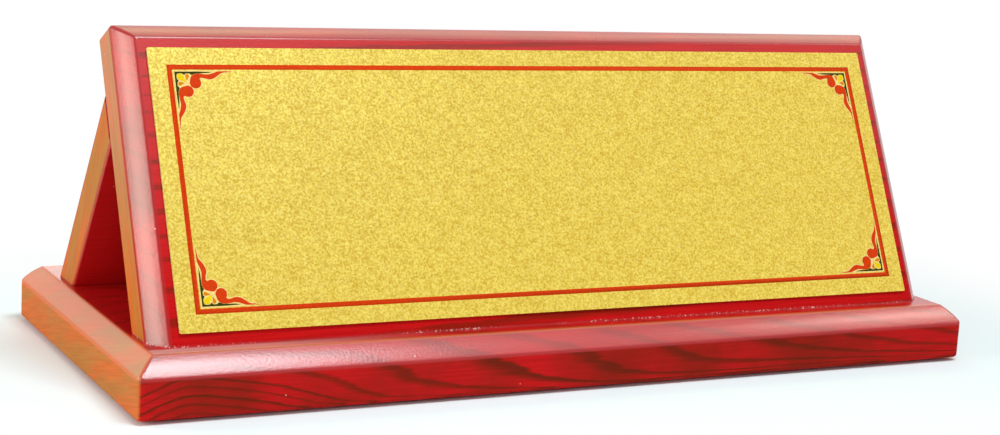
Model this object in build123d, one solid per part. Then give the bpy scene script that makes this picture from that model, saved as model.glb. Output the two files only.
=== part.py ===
from build123d import *
import os
from math import cos, radians, sin

# Desk name plate of lacquered wood. A bevelled base board carries a front panel that leans back
# and a rear panel that leans forward against it. A thin metal plate is taped to the front panel.
# X runs along the plate, the reader sits on the -Y side and +Z is up.
# The origin lies on the desk, under the middle of the base board. Lengths are millimetres.

# The board that all three wooden pieces are cut from
board_thickness = 15.0
bevel = 4.8
bevel_crown = 0.3  # how far a bevel swells above its straight chord
edge_radius = 1.0

# Base board
base_length = 247.0
base_depth = 112.0
base_corner_radius = 2.0  # in plan

# Front panel, measured on its face
panel_end_setback = 6.25  # from the base's ends to both panels' ends
panel_height = 84.6
front_setback = 10.0  # from the base's front edge to the foot of the face
front_lean = 26.4  # degrees back from upright

# Rear panel, which is as long as the front panel
rear_setback = 13.1  # from the base's rear edge to the foot of the outer face, before its trim
apex_drop = 10.3  # from the front panel's top, down its back, to the rear panel's tip
heel_height = 3.0  # upright trim that blunts the rear foot
tip_trim = 0.8  # square trim that blunts the tip, measured down the outer face

# Metal plate, with a margin of bare face all round, and the double-sided tape that holds it
plate_thickness = 0.6
plate_end_margin = 2.45
plate_top_margin = 3.1
plate_foot_margin = 3.2
plate_corner_radius = 0.4
tape_width = 12.0
tape_thickness = 0.15
tape_margin = 8.0  # from the plate's ends to the tape's ends
tape_levels = ("lower", "middle", "upper")
tape_height_shares = (0.16, 0.5, 0.84)

# Countersunk wood screws, driven up through the base into the panels
screw_length = 25.0
screw_diameter = 3.5
screw_head_diameter = 7.0
screw_rim = 0.3
screw_point = 4.0
screw_sink = 0.5  # from the base's underside up to the head
screw_inset = 32.0  # from a panel's ends to the screws in its foot
shank_clearance = 0.25  # between shank and base, all round
rim_clearance = 0.1  # between head and base, all round
pilot_end_clearance = 1.0
drive_width = 1.1
drive_span = 4.2
drive_depth = 1.6
drive_taper = 12.0  # degrees

# Dowels that key the rear panel to the front panel's back
dowel_diameter = 5.0
dowel_length = 12.0
dowel_chamfer = 0.6
dowel_inset = 42.0  # from the panels' ends to the dowels
dowel_end_clearance = 0.5

# Felt pads under the base board
pad_diameter = 14.0
pad_thickness = 1.0
pad_inset = 8.0  # from the base's edges to the pad's rim

cut_overrun = 1.0
coincidence = 0.001

sides = {"left": -1, "right": 1}
rows = {"front": -1, "rear": 1}

# How a block stands on its plane, and how a board's section lies behind its face
standing = (Align.CENTER, Align.CENTER, Align.MIN)
behind_face = (Align.MIN, Align.MAX)

panel_length = base_length - 2 * panel_end_setback
plate_length = panel_length - 2 * (bevel + plate_end_margin)
plate_height = panel_height - bevel - plate_top_margin - plate_foot_margin

# Planes of the side view: where the boards stand, lean and meet
base_top = pad_thickness + board_thickness
base_surface = Plane.XY.offset(base_top)

lean = radians(front_lean)
front_foot = Vector(0, front_setback - base_depth / 2, base_top)
front_up = Vector(0, sin(lean), cos(lean))
front_face = Plane(origin=front_foot, x_dir=(1, 0, 0), z_dir=(0, -cos(lean), sin(lean)))
front_back = front_face.offset(-board_thickness)

rear_foot = Vector(0, base_depth / 2 - rear_setback, base_top)
rear_tip = front_back.origin + front_up * (panel_height - apex_drop)
rear_slope = rear_tip - rear_foot
rear_up = rear_slope.normalized()
rear_face = Plane(origin=rear_foot, x_dir=(-1, 0, 0), z_dir=rear_up.cross(Vector(1, 0, 0)))

heel = rear_foot + rear_up * (heel_height / rear_up.Z)
heel_plane = Plane(origin=heel, x_dir=(-1, 0, 0), z_dir=(0, 1, 0))
tip_plane = Plane(origin=rear_tip - rear_up * tip_trim, x_dir=(-1, 0, 0), z_dir=rear_up)


def middle_at(height, face, up):
    """Y of a leaning board's mid-plane, at a height above the base."""
    middle = face.offset(-board_thickness / 2).origin
    return middle.Y + (base_top + height - middle.Z) * up.Y / up.Z


# Each screw crosses the middle of its leaning board half way up the part that bites
screw_bite = screw_length - (board_thickness - screw_sink)
screw_lines = {
    "front": middle_at(screw_bite / 2, front_face, front_up),
    "rear": middle_at(screw_bite / 2, rear_face, rear_up),
}


def lies_on(edge, plane):
    """True if both ends of an edge are on a plane."""
    return all(abs(plane.to_local_coords(end.center()).Z) < coincidence for end in edge.vertices())


def off_planes(shape, *planes):
    """Edges of a shape that lie on none of the planes."""
    return [edge for edge in shape.edges() if not any(lies_on(edge, plane) for plane in planes)]


def screw_section(start, head_radius, rim, shank_radius, shank_end, point):
    """Half section of a countersunk screw, or of its hole, with the head's flat at zero height."""
    neck = rim + head_radius - shank_radius
    corners = [(0, start), (head_radius, start), (head_radius, rim), (shank_radius, neck)]
    corners += [(shank_radius, shank_end), (0, shank_end + point)]
    return Plane.XZ * make_face(Polyline(*corners, close=True))


def screw_place(row, side):
    """Centre of a screw head's flat, in the underside of the base."""
    reach = panel_length / 2 - screw_inset
    return Pos(sides[side] * reach, screw_lines[row], pad_thickness + screw_sink)


def screw_hole():
    """Countersunk hole through the base, whose cone seats the screw's."""
    section = screw_section(
        start=-screw_sink - cut_overrun,
        head_radius=screw_head_diameter / 2 + rim_clearance,
        rim=screw_rim - rim_clearance,
        shank_radius=screw_diameter / 2 + shank_clearance,
        shank_end=board_thickness - screw_sink + cut_overrun,
        point=0,
    )
    return revolve(section, Axis.Z)


def pilot_hole():
    """Blind hole in a panel's foot, which the screw's thread bites."""
    depth = screw_bite + pilot_end_clearance + cut_overrun
    entry = board_thickness - screw_sink - cut_overrun
    return Pos(0, 0, entry) * Cylinder(screw_diameter / 2, depth, align=standing)


def dowel_place(side):
    """Frame on the front panel's back, at the middle of the joint with the rear panel."""
    middle = front_back.to_local_coords(rear_face.offset(-board_thickness / 2).origin)
    slope = front_back.to_local_coords(front_back.origin + rear_up)
    height = middle.Y - middle.Z * slope.Y / slope.Z
    return front_back * Pos(sides[side] * (panel_length / 2 - dowel_inset), height, 0)


def dowel_holes():
    """Holes for the dowels, which run half into each panel."""
    hole = Cylinder(dowel_diameter / 2, dowel_length + 2 * dowel_end_clearance)
    return [dowel_place(side) * hole for side in sides]


def bevel_waste(outward):
    """Corner that a crowned bevel takes off a section, whose side at the origin faces outward along X."""
    foot = Vector(0, -bevel)
    head = Vector(-outward * bevel, 0)
    crest = (foot + head) / 2 + Vector(outward, 1).normalized() * bevel_crown
    return make_face([ThreePointArc(foot, crest, head), *Polyline(head, (0, 0), foot).edges()])


def board_section(low, high, low_bevelled, high_bevelled):
    """Section through a board, behind its face and from its low side to its high side."""
    section = Pos(low, 0) * Rectangle(high - low, board_thickness, align=behind_face)
    if low_bevelled:
        section -= Pos(low, 0) * bevel_waste(-1)
    if high_bevelled:
        section -= Pos(high, 0) * bevel_waste(1)
    return section


def bevelled_board(length, height, foot_bevelled, head_bevelled):
    """Board behind its face, up from its foot, with mitred bevels: both ends and, if asked, foot and head."""
    along = board_section(-length / 2, length / 2, True, True)
    upwards = board_section(0, height, foot_bevelled, head_bevelled)
    run = extrude(Plane.XZ * along, amount=-height)
    return run & extrude(Plane.YZ * upwards, amount=length / 2, both=True)


def base_board():
    """Board with a bevel round its top and countersunk holes in its underside."""
    board = Pos(0, -base_depth / 2, base_top) * bevelled_board(base_length, base_depth, True, True)
    board = fillet(board.edges().filter_by(Axis.Z), base_corner_radius)
    board = fillet(board.edges(), edge_radius)
    return board - [screw_place(row, side) * screw_hole() for row in rows for side in sides]


def front_panel():
    """Board bevelled on its face along both ends and the top, with its foot cut level."""
    board = front_face * bevelled_board(panel_length, panel_height, False, True)
    board = split(board, base_surface, keep=Keep.TOP)
    board = fillet(off_planes(board, base_surface), edge_radius)
    return board - [screw_place("front", side) * pilot_hole() for side in sides] - dowel_holes()


def rear_panel():
    """Board bevelled along both ends, with a level foot, a blunt heel and a mitred top."""
    board = rear_face * bevelled_board(panel_length, rear_slope.length, False, False)
    board = fillet(board.edges().filter_by(Axis(rear_foot, rear_up)), edge_radius)
    board = split(board, base_surface, keep=Keep.TOP)
    for limit in (front_back, heel_plane, tip_plane):
        board = split(board, limit, keep=Keep.BOTTOM)
    heel_edges = [edge for edge in off_planes(board, base_surface) if lies_on(edge, heel_plane)]
    board = fillet(heel_edges, edge_radius)
    return board - [screw_place("rear", side) * pilot_hole() for side in sides] - dowel_holes()


def face_plate():
    """Thin metal sheet in front of the front panel's face."""
    sheet = Box(plate_length, plate_height, plate_thickness, align=standing)
    sheet = fillet(sheet.edges().filter_by(Axis.Z), plate_corner_radius)
    return front_face.offset(tape_thickness) * Pos(0, plate_foot_margin + plate_height / 2, 0) * sheet


def tape_strip(height_share):
    """Strip of double-sided tape between the front panel and the plate."""
    strip = Box(plate_length - 2 * tape_margin, tape_width, tape_thickness, align=standing)
    return front_face * Pos(0, plate_foot_margin + height_share * plate_height, 0) * strip


def base_screw(row, side):
    """Countersunk wood screw with a cross recess, pointing up."""
    section = screw_section(
        start=0,
        head_radius=screw_head_diameter / 2,
        rim=screw_rim,
        shank_radius=screw_diameter / 2,
        shank_end=screw_length - screw_point,
        point=screw_point,
    )
    cross = Rectangle(drive_span, drive_width) + Rectangle(drive_width, drive_span)
    recess = extrude(cross, amount=drive_depth, taper=drive_taper)
    return screw_place(row, side) * (revolve(section, Axis.Z) - recess)


def apex_dowel(side):
    """Round dowel with chamfered ends."""
    pin = Cylinder(dowel_diameter / 2, dowel_length)
    return dowel_place(side) * chamfer(pin.edges().filter_by(GeomType.CIRCLE), dowel_chamfer)


def felt_pad(row, side):
    """Round pad near one corner of the base's underside."""
    reach = pad_inset + pad_diameter / 2
    place = Pos(sides[side] * (base_length / 2 - reach), rows[row] * (base_depth / 2 - reach), 0)
    return place * Cylinder(pad_diameter / 2, pad_thickness, align=standing)


nodes = {
    "base_board": base_board(),
    "front_panel": front_panel(),
    "rear_panel": rear_panel(),
    "face_plate": face_plate(),
}
for level, height_share in zip(tape_levels, tape_height_shares):
    nodes[f"tape_strip_{level}"] = tape_strip(height_share)
for side in sides:
    nodes[f"apex_dowel_{side}"] = apex_dowel(side)
    for row in rows:
        nodes[f"base_screw_{row}_{side}"] = base_screw(row, side)
        nodes[f"felt_pad_{row}_{side}"] = felt_pad(row, side)

os.makedirs("parts", exist_ok=True)
for name, solid in nodes.items():
    export_step(solid, f"parts/{name}.step")
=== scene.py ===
"""Looks of a desk name plate: red lacquered boards that carry a gold sheet with a printed border.

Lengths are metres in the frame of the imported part: X runs along the plate, the reader sits on the -Y
side, Z is up and the desk top is at zero. Sizes that a maker would read off a rule are written in
millimetres and times MM.
"""

import logging
import math
from dataclasses import dataclass, field, replace
from enum import Enum
from typing import Any, Sequence

import bmesh
import bpy
from bpy.types import Material, Mesh, NodeSocket, NodeTree, Object
from mathutils import Matrix, Vector

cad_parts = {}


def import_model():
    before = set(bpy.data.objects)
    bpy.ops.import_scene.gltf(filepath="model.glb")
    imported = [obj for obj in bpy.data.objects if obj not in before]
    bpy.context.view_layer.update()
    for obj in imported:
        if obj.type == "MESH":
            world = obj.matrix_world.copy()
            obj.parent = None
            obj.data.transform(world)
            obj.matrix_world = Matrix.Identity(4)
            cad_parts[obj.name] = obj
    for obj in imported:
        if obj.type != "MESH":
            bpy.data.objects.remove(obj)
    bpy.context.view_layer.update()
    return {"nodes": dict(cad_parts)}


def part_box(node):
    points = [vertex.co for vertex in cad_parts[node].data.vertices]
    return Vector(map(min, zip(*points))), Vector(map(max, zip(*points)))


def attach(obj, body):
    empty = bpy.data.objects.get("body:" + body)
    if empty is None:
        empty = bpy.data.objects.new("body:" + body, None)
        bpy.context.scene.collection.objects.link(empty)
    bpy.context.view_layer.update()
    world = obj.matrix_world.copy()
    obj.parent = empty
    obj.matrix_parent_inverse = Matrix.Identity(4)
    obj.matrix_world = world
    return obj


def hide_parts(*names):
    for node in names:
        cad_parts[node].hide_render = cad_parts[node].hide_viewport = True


log = logging.getLogger("name_plate")

MM = 0.001
BODY = "root"
Colour = tuple[float, float, float, float]
Point = tuple[float, float]
Range = tuple[float, float]
Triple = tuple[float, float, float]

# Levels of a noise between which its dark parts turn into its light ones.
NOISE_MIDDLE: Range = (0.35, 0.65)


def paint(red: int, green: int, blue: int) -> Colour:
    """Turns a screen colour into the linear colour that a shader takes.

    Args:
        red: Red level, 0 to 255.
        green: Green level, 0 to 255.
        blue: Blue level, 0 to 255.

    Returns:
        Linear red, green and blue, with full alpha.
    """
    levels = [level / 255 for level in (red, green, blue)]
    linear = [level / 12.92 if level <= 0.04045 else ((level + 0.055) / 1.055) ** 2.4 for level in levels]
    return (*linear, 1.0)


class Net:
    """Places nodes in one node tree and joins their sockets."""

    def __init__(self, tree: NodeTree) -> None:
        """Starts on a tree, which may already hold nodes."""
        self.tree = tree

    def plug(self, socket: NodeSocket, source: Any) -> None:
        """Feeds an input socket.

        Args:
            socket: The socket to feed.
            source: Another node's output socket, or a plain value.
        """
        if isinstance(source, NodeSocket):
            self.tree.links.new(source, socket)
        else:
            socket.default_value = source

    def add(self, kind: str, feeds: dict | None = None, **settings: Any) -> Any:
        """Adds a node.

        Args:
            kind: Blender's name for the type of node.
            feeds: What each input takes, by the socket's name or number.
            settings: Values for the node's own properties.

        Returns:
            The new node's output sockets.
        """
        node = self.tree.nodes.new(kind)
        for name, value in settings.items():
            setattr(node, name, value)
        for socket, source in (feeds or {}).items():
            self.plug(node.inputs[socket], source)
        return node.outputs

    def group(self, tree: NodeTree, **feeds: Any) -> Any:
        """Places a node group and returns its outputs. Underscores stand for spaces in input names."""
        named = {name.replace("_", " "): source for name, source in feeds.items()}
        return self.add("ShaderNodeGroup", named, node_tree=tree)

    def math(self, operation: str, *sources: Any, clamp: bool = False) -> NodeSocket:
        """Returns the result of a Math node over the sources."""
        return self.add("ShaderNodeMath", dict(enumerate(sources)), operation=operation, use_clamp=clamp)[0]

    def times(self, first: Any, *factors: Any) -> NodeSocket:
        """Multiplies values.

        Args:
            first: The first value or socket.
            factors: The others.

        Returns:
            A socket for the product.
        """
        for factor in factors:
            first = self.math("MULTIPLY", first, factor)
        return first

    def line(self, value: Any, slope: Any, start: Any) -> NodeSocket:
        """Returns a value times a slope, added to a start."""
        return self.math("MULTIPLY_ADD", value, slope, start)

    def vector(self, operation: str, *sources: Any) -> NodeSocket:
        """Returns the result of a Vector Math node: a plain value for a length or a dot product."""
        result = "Value" if operation in ("LENGTH", "DOT_PRODUCT") else "Vector"
        return self.add("ShaderNodeVectorMath", dict(enumerate(sources)), operation=operation)[result]

    def split(self, vector: Any) -> Any:
        """Returns a vector's X, Y and Z by their names."""
        return self.add("ShaderNodeSeparateXYZ", {"Vector": vector})

    def join(self, **parts: Any) -> NodeSocket:
        """Returns the vector that has the given X, Y and Z, or zero where one isn't given."""
        return self.add("ShaderNodeCombineXYZ", parts)["Vector"]

    def smooth(self, value: Any, low: Any, high: Any) -> NodeSocket:
        """Returns 0 below low and 1 above high, with a smooth step between them."""
        feeds = {"Value": value, "From Min": low, "From Max": high}
        return self.add("ShaderNodeMapRange", feeds, interpolation_type="SMOOTHSTEP")[0]

    def span(self, value: Any, low: Any, high: Any) -> NodeSocket:
        """Returns a value of 0 to 1 stretched to run from low to high."""
        return self.add("ShaderNodeMapRange", {"Value": value, "To Min": low, "To Max": high})[0]

    def coats(self, ground: Any, *coats: tuple[Any, Any]) -> NodeSocket:
        """Lays colours over each other.

        Args:
            ground: The colour underneath.
            coats: Share and colour of each coat, the lowest first.

        Returns:
            A socket for the colour that shows.
        """
        # A Mix node has sockets of the same names for each type of data, so they go by number.
        for share, colour in coats:
            ground = self.add("ShaderNodeMix", {0: share, 6: ground, 7: colour}, data_type="RGBA")[2]
        return ground

    def noise(self, vector: Any, scale: Any, detail: float, **more: float) -> NodeSocket:
        """Returns noise over a vector, with values for more of its inputs by their names."""
        feeds = {"Vector": vector, "Scale": scale, "Detail": detail} | more
        return self.add("ShaderNodeTexNoise", feeds)["Fac"]

    def drawn_noise(self, vector: Any, scales: Triple, detail: float) -> NodeSocket:
        """Returns noise that has a scale of its own along each axis."""
        return self.noise(self.vector("MULTIPLY", vector, scales), 1.0, detail)

    def leave(self, results: dict[str, Any]) -> NodeTree:
        """Ends a tree by feeding its outputs.

        Args:
            results: What each output takes, by its name.

        Returns:
            The tree.
        """
        exits = self.tree.nodes.new("NodeGroupOutput").inputs
        for name, source in results.items():
            self.plug(exits[name], source)
        return self.tree

    def leave_mesh(self, geometry: NodeSocket, finish: NodeSocket, rise: Any = 0.0) -> NodeTree:
        """Ends a tree of geometry: lifts what it made, makes it real and gives it its material.

        Args:
            geometry: What the tree made.
            finish: Its material.
            rise: Height to lift it by.

        Returns:
            The tree.
        """
        feeds = {"Geometry": geometry, "Translation": self.join(Z=rise)}
        lifted = self.add("GeometryNodeTransform", feeds)[0]
        real = self.add("GeometryNodeRealizeInstances", {"Geometry": lifted})[0]
        feeds = {"Geometry": real, "Material": finish}
        return self.leave({"Mesh": self.add("GeometryNodeSetMaterial", feeds)[0]})


# Blender's type of socket for each type of value.
SOCKETS = {
    float: "NodeSocketFloat",
    Vector: "NodeSocketVector",
    Material: "NodeSocketMaterial",
    Mesh: "NodeSocketGeometry",
}


def start_tree(name: str, inputs: dict[str, type], outputs: dict[str, type]) -> tuple[Net, Any]:
    """Starts a node group with named sockets, of geometry where it puts out a mesh.

    Args:
        name: Name of the tree.
        inputs: Type of each input by its name.
        outputs: Type of each output by its name.

    Returns:
        The tree's net and the sockets of its inputs.
    """
    kind = "GeometryNodeTree" if Mesh in outputs.values() else "ShaderNodeTree"
    tree = bpy.data.node_groups.new(name, kind)
    for sockets, side in ((inputs, "INPUT"), (outputs, "OUTPUT")):
        for socket_name, socket_type in sockets.items():
            tree.interface.new_socket(socket_name, in_out=side, socket_type=SOCKETS[socket_type])
    net = Net(tree)
    return net, net.add("NodeGroupInput")


class Effects:
    """Shader node groups that more than one finish uses, each built once.

    Scales are in grains to a metre, three of them where noise is drawn out along the axes. Places in a
    ring are measured from its end, in widths of its late wood.

    Attributes:
        ring_scales: Scales of the rings' unevenness.
        fibre_scales: Scales of the fibre.
        end_scales: Scales of the end grain's looks.
        late_start: Where late wood starts, in a faint ring and in a strong one.
        late_peak: Where it is darkest.
        late_drop: Where it starts to fade.
        late_strength: How dark it is, in a faint ring and in a strong one.
        smudge_scale: Scale of the smudges.
        dust_scale: Scale of the cells that may hold a speck of dust.
        dust_rim: Distances from a cell's middle, in cells, between which a speck thickens.
        grain_levels: Levels of the noise between which the grain rises.
        glint_levels: Levels between which a cell of the speckle starts to glint.
    """

    ring_scales: dict[str, Triple] = {"Wander": (16.0, 70.0, 70.0), "Raggedness": (60.0, 1100.0, 1100.0)}
    fibre_scales: Triple = (55.0, 2600.0, 2600.0)
    end_scales: dict[str, Triple] = {"Zone": (20.0, 30.0, 200.0), "Line": (40.0, 70.0, 1500.0)}
    late_start: Range = (-1.0, -1.4)
    late_peak: float = -0.45
    late_drop: float = -0.28
    late_strength: Range = (0.6, 1.0)
    smudge_scale: float = 38.0
    dust_scale: float = 230.0
    dust_rim: Range = (0.055, 0.02)
    grain_levels: Range = (0.3, 0.7)
    glint_levels: Range = (0.86, 0.98)

    def __init__(self) -> None:
        """Builds all the groups."""
        self.growth_rings = self._growth_rings()
        self.end_streaks = self._end_streaks()
        self.face_distance = self._face_distance()
        self.surface_skin = self._surface_skin()
        self.speckle = self._speckle()

    def _growth_rings(self) -> NodeTree:
        """Builds the look of growth rings in wood whose grain runs along X.

        Returns:
            A group that takes a count of rings and gives the dark late wood of each ring, and fine fibre.
        """
        inputs = {"Vector": Vector, "Turns": float, "Wander": float, "Raggedness": float, "Late Share": float}
        net, entry = start_tree("growth_rings", inputs, {"Latewood": float, "Fibre": float})
        turns, share = entry["Turns"], entry["Late Share"]
        for amount, scales in self.ring_scales.items():
            shift = net.math("SUBTRACT", net.drawn_noise(entry["Vector"], scales, detail=2.5), 0.5)
            turns = net.line(shift, entry[amount], turns)
        phase = net.math("FRACT", turns)
        ring = {"W": net.math("FLOOR", turns)}
        tone = net.add("ShaderNodeTexWhiteNoise", ring, noise_dimensions="1D")["Value"]
        begin = net.line(share, net.span(tone, *self.late_start), 1.0)
        rise = net.smooth(phase, begin, net.line(share, self.late_peak, 1.0))
        fall = net.smooth(phase, 1.0, net.line(share, self.late_drop, 1.0))
        late = net.times(rise, fall, net.span(tone, *self.late_strength))
        fibre = net.drawn_noise(entry["Vector"], self.fibre_scales, detail=4.0)
        return net.leave({"Latewood": late, "Fibre": fibre})

    def _end_streaks(self) -> NodeTree:
        """Builds the look of sawn end grain, drawn out along a lie that is square to X.

        Returns:
            A group that takes the direction of the lie and gives broad zones and fine lines.
        """
        inputs = {"Vector": Vector, "Lie": Vector}
        net, entry = start_tree("end_streaks", inputs, {"Zone": float, "Line": float})
        along = (1.0, 0.0, 0.0)
        axes = {"X": along, "Y": entry["Lie"], "Z": net.vector("CROSS_PRODUCT", entry["Lie"], along)}
        parts = {name: net.vector("DOT_PRODUCT", entry["Vector"], axis) for name, axis in axes.items()}
        turned = net.join(**parts)
        return net.leave({name: net.smooth(net.drawn_noise(turned, scales, detail=2.0), *NOISE_MIDDLE)
                          for name, scales in self.end_scales.items()})

    def _face_distance(self) -> NodeTree:
        """Builds the distance of a point in front of a plane, and keeps the two largest so far.

        Returns:
            A group that is chained over a board's faces, so that the largest distance says which face
            a point lies on and the second says how near the next face is.
        """
        inputs = {"Vector": Vector, "Normal": Vector, "Reach": float, "First": float, "Second": float}
        outputs = {"Distance": float, "First": float, "Second": float}
        net, entry = start_tree("face_distance", inputs, outputs)
        along = net.vector("DOT_PRODUCT", entry["Vector"], entry["Normal"])
        distance = net.math("SUBTRACT", along, entry["Reach"])
        first = net.math("MAXIMUM", entry["First"], distance)
        second = net.math("MAXIMUM", entry["Second"], net.math("MINIMUM", entry["First"], distance))
        return net.leave({"Distance": distance, "First": first, "Second": second})

    def _surface_skin(self) -> NodeTree:
        """Builds what time and handling leave on a smooth surface.

        Returns:
            A group that gives a fine peel height, broad smudges and sparse specks of dust.
        """
        inputs = {"Vector": Vector, "Peel Scale": float, "Dust Share": float}
        net, entry = start_tree("surface_skin", inputs, {"Peel": float, "Smudge": float, "Dust": float})
        place = entry["Vector"]
        cells = net.add("ShaderNodeTexVoronoi", {"Vector": place, "Scale": self.dust_scale})
        chosen = net.add("ShaderNodeSeparateColor", {"Color": cells["Color"]})["Red"]
        rare = net.math("LESS_THAN", chosen, entry["Dust Share"])
        return net.leave({"Peel": net.noise(place, entry["Peel Scale"], detail=2.0),
                          "Smudge": net.noise(place, self.smudge_scale, detail=3.0),
                          "Dust": net.times(rare, net.smooth(cells["Distance"], *self.dust_rim))})

    def _speckle(self) -> NodeTree:
        """Builds the fine random grain of a blasted, plated or pressed surface.

        Returns:
            A group that gives the grain as a value about 0.5 and bright glints that stand out of it.
        """
        inputs = {"Vector": Vector, "Scale": float}
        net, entry = start_tree("speckle", inputs, {"Grain": float, "Glint": float})
        coarse = net.noise(entry["Vector"], entry["Scale"], detail=3.0, Roughness=0.6)
        cells = net.add("ShaderNodeTexVoronoi", {"Vector": entry["Vector"], "Scale": entry["Scale"]})
        bright = net.add("ShaderNodeSeparateColor", {"Color": cells["Color"]})["Green"]
        return net.leave({"Grain": net.smooth(coarse, *self.grain_levels),
                          "Glint": net.smooth(bright, *self.glint_levels)})


class Surface(Net):
    """The nodes of one material, round its Principled shader and its object coordinates."""

    def __init__(self, name: str) -> None:
        """Starts the material.

        Args:
            name: Name of the material.
        """
        self.material = bpy.data.materials.new(name)
        self.material.use_nodes = True
        super().__init__(self.material.node_tree)
        self.shader = self.tree.nodes["Principled BSDF"]
        self.place = self.add("ShaderNodeTexCoord")["Object"]

    def effect(self, tree: NodeTree, **feeds: Any) -> Any:
        """Places a shared effect over the object coordinates and returns its outputs."""
        return self.group(tree, Vector=self.place, **feeds)

    def feed(self, **feeds: Any) -> None:
        """Feeds inputs of the shader. Underscores stand for spaces in their names."""
        for name, source in feeds.items():
            self.plug(self.shader.inputs[name.replace("_", " ")], source)

    def bump(self, height: Any, depth: float, strength: float = 1.0, layer: str = "Normal") -> None:
        """Feeds a normal of the shader from a height of 0 to 1 that stands for a real depth.

        Args:
            height: Output socket that gives the height.
            depth: Depth of the relief in metres.
            strength: Share of the relief that shows.
            layer: The shader's socket for the normal of a layer.
        """
        feeds = {"Height": height, "Distance": depth, "Strength": strength}
        self.plug(self.shader.inputs[layer], self.add("ShaderNodeBump", feeds)["Normal"])


@dataclass(frozen=True)
class Face:
    """One flat side of a board, as the plane that it lies in.

    Attributes:
        normal: Outward unit normal.
        reach: Distance of the plane from the origin, along the normal.
        gloss: Weight of the clear coat on this side, at its head.
        foot_share: Share of that weight that is left at its foot.
        figure: Share of the dark rings that shows on this side.
        bare: Share of pale end grain that shows on this side.
        worn: Share of bare wood that shows along its edges.
        blotch: Share of the dark blotches that shows on this side; on the base's front and rear sides they
            are partly painted shade.
        dull: Share of the gloss that is rubbed off along its edges.
    """

    normal: Vector
    reach: float
    gloss: float = 1.0
    foot_share: float = 1.0
    figure: float = 1.0
    bare: float = 0.0
    worn: float = 0.0
    blotch: float = 0.0
    dull: float = 0.0

    @classmethod
    def through(cls, normal: Vector, point: Vector, **looks: float) -> "Face":
        """Makes a face from its normal and any point on it."""
        unit = normal.normalized()
        return cls(unit, unit.dot(point), **looks)

    def bevelled_to(self, other: "Face", width: float, **looks: float) -> "Face":
        """Makes the 45 degree bevel between this face and one square to it.

        Args:
            other: The face at a right angle to this one.
            width: Width that the bevel takes off either face.
            looks: The bevel's gloss and other shares.

        Returns:
            The bevel's face.
        """
        normal = (self.normal + other.normal).normalized()
        return Face(normal, (self.reach + other.reach - width) / math.sqrt(2), **looks)


# Fields of a face that turn into the next face's where two sides of a board meet.
LOOKS = ("gloss", "foot_share", "figure", "bare", "worn", "blotch", "dull")


@dataclass(frozen=True, kw_only=True)
class Trunk:
    """How a board was sawn out of its tree, and how its growth rings show.

    Attributes:
        wander: How far the rings wander, in ring widths.
        raggedness: How ragged the rings are, in ring widths.
        late_share: Share of a ring's width that is dark late wood.
        figure: How dark the late wood is, from 0 to 1.
        lie: Direction in which the end grain is drawn out, square to X.
    """

    wander: float = 0.6
    raggedness: float = 0.35
    late_share: float = 0.36
    figure: float = 0.8
    lie: Vector = field(default_factory=lambda: Vector((0.0, 1.0, 0.0)))

    def rings(self, surface: Surface, effects: Effects) -> Any:
        """Places the growth rings in a material and returns their outputs."""
        return surface.effect(effects.growth_rings, Turns=self.turns(surface), Wander=self.wander,
                              Raggedness=self.raggedness, Late_Share=self.late_share)

    def turns(self, surface: Surface) -> NodeSocket:
        """Returns the count of rings at each place."""
        raise NotImplementedError


@dataclass(frozen=True, kw_only=True)
class RoundTrunk(Trunk):
    """A straight trunk with round rings.

    Attributes:
        pith: A point on the trunk's axis.
        tilt_deg: Turns of the axis away from X, about X, Y and Z.
        spacing: Width of a ring.
    """

    pith: Triple = (0.0, 0.0, 0.0)
    tilt_deg: Triple = (0.0, 0.0, 0.0)
    spacing: float

    def turns(self, surface: Surface) -> NodeSocket:
        """Counts the rings from the pith outwards.

        Args:
            surface: Nodes of the material.

        Returns:
            A socket for the count at each place.
        """
        turn = tuple(math.radians(angle) for angle in self.tilt_deg)
        from_pith = surface.vector("SUBTRACT", surface.place, self.pith)
        sawn = surface.add("ShaderNodeMapping", {"Vector": from_pith, "Rotation": turn})["Vector"]
        radius = surface.vector("LENGTH", surface.vector("MULTIPLY", sawn, (0.0, 1.0, 1.0)))
        return surface.math("DIVIDE", radius, self.spacing)


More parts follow.
